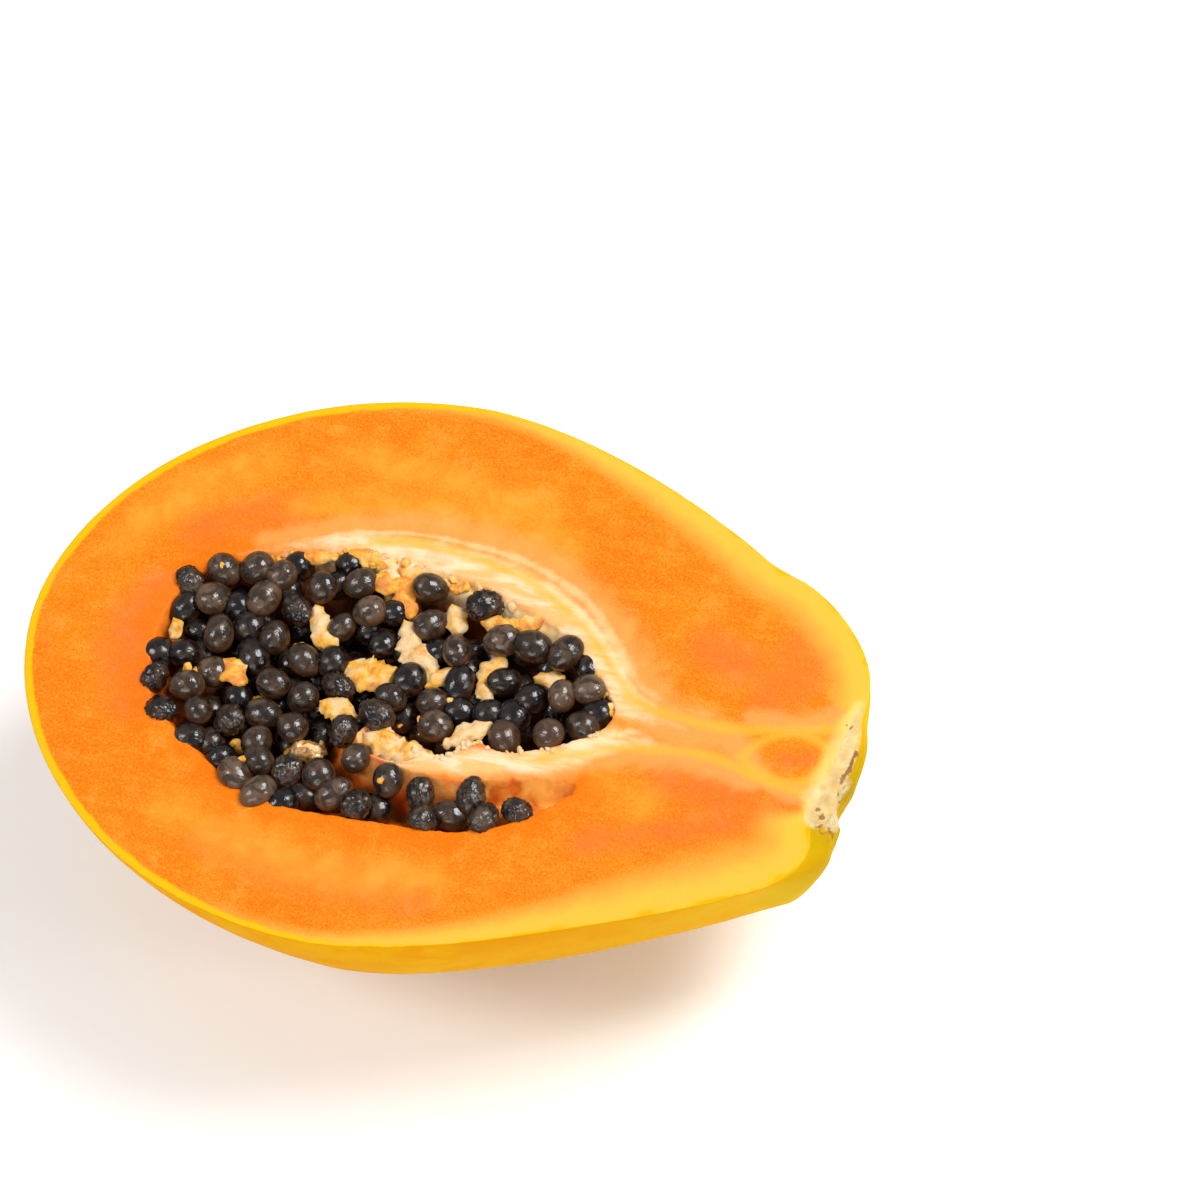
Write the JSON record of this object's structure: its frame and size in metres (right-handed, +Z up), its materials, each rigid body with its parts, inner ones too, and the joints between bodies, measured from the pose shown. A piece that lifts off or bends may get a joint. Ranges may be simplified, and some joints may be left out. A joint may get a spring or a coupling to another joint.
{
  "type": "papaya half",
  "caption": "Half of a ripe papaya cut lengthwise, lying on its skin, with dark jelly-coated seeds in the oval hollow of its orange flesh.",
  "frame": {"origin": "middle of the box's underside, on the surface that the fruit rests on", "axes": "+X along the fruit from the blossom end to the stem end; +Y across it; +Z up, square to the level cut face"},
  "size_m": [0.1549, 0.1078, 0.0525],
  "materials": {
    "papaya_half": "satin",
    "papaya_seed": "gloss"
  },
  "bodies": {
    "root": {"half_fruit": "papaya_half", "seed_01": "papaya_seed", "seed_02": "papaya_seed", "seed_03": "papaya_seed", "seed_04": "papaya_seed", "seed_05": "papaya_seed", "seed_06": "papaya_seed", "seed_07": "papaya_seed", "seed_08": "papaya_seed", "seed_09": "papaya_seed", "seed_10": "papaya_seed", "seed_11": "papaya_seed", "seed_12": "papaya_seed", "seed_13": "papaya_seed", "seed_14": "papaya_seed", "seed_15": "papaya_seed", "seed_16": "papaya_seed", "seed_17": "papaya_seed", "seed_18": "papaya_seed", "seed_19": "papaya_seed", "seed_20": "papaya_seed", "seed_21": "papaya_seed", "seed_22": "papaya_seed", "seed_23": "papaya_seed", "seed_24": "papaya_seed", "seed_25": "papaya_seed", "seed_26": "papaya_seed", "seed_27": "papaya_seed", "seed_28": "papaya_seed", "seed_29": "papaya_seed", "seed_30": "papaya_seed", "seed_31": "papaya_seed", "seed_32": "papaya_seed", "seed_33": "papaya_seed", "seed_34": "papaya_seed", "seed_35": "papaya_seed", "seed_36": "papaya_seed", "seed_37": "papaya_seed", "seed_38": "papaya_seed", "seed_39": "papaya_seed", "seed_40": "papaya_seed", "seed_41": "papaya_seed", "seed_42": "papaya_seed", "seed_43": "papaya_seed", "seed_44": "papaya_seed", "seed_45": "papaya_seed", "seed_46": "papaya_seed", "seed_47": "papaya_seed", "seed_48": "papaya_seed", "seed_49": "papaya_seed", "seed_50": "papaya_seed"}
  },
  "joints": []
}
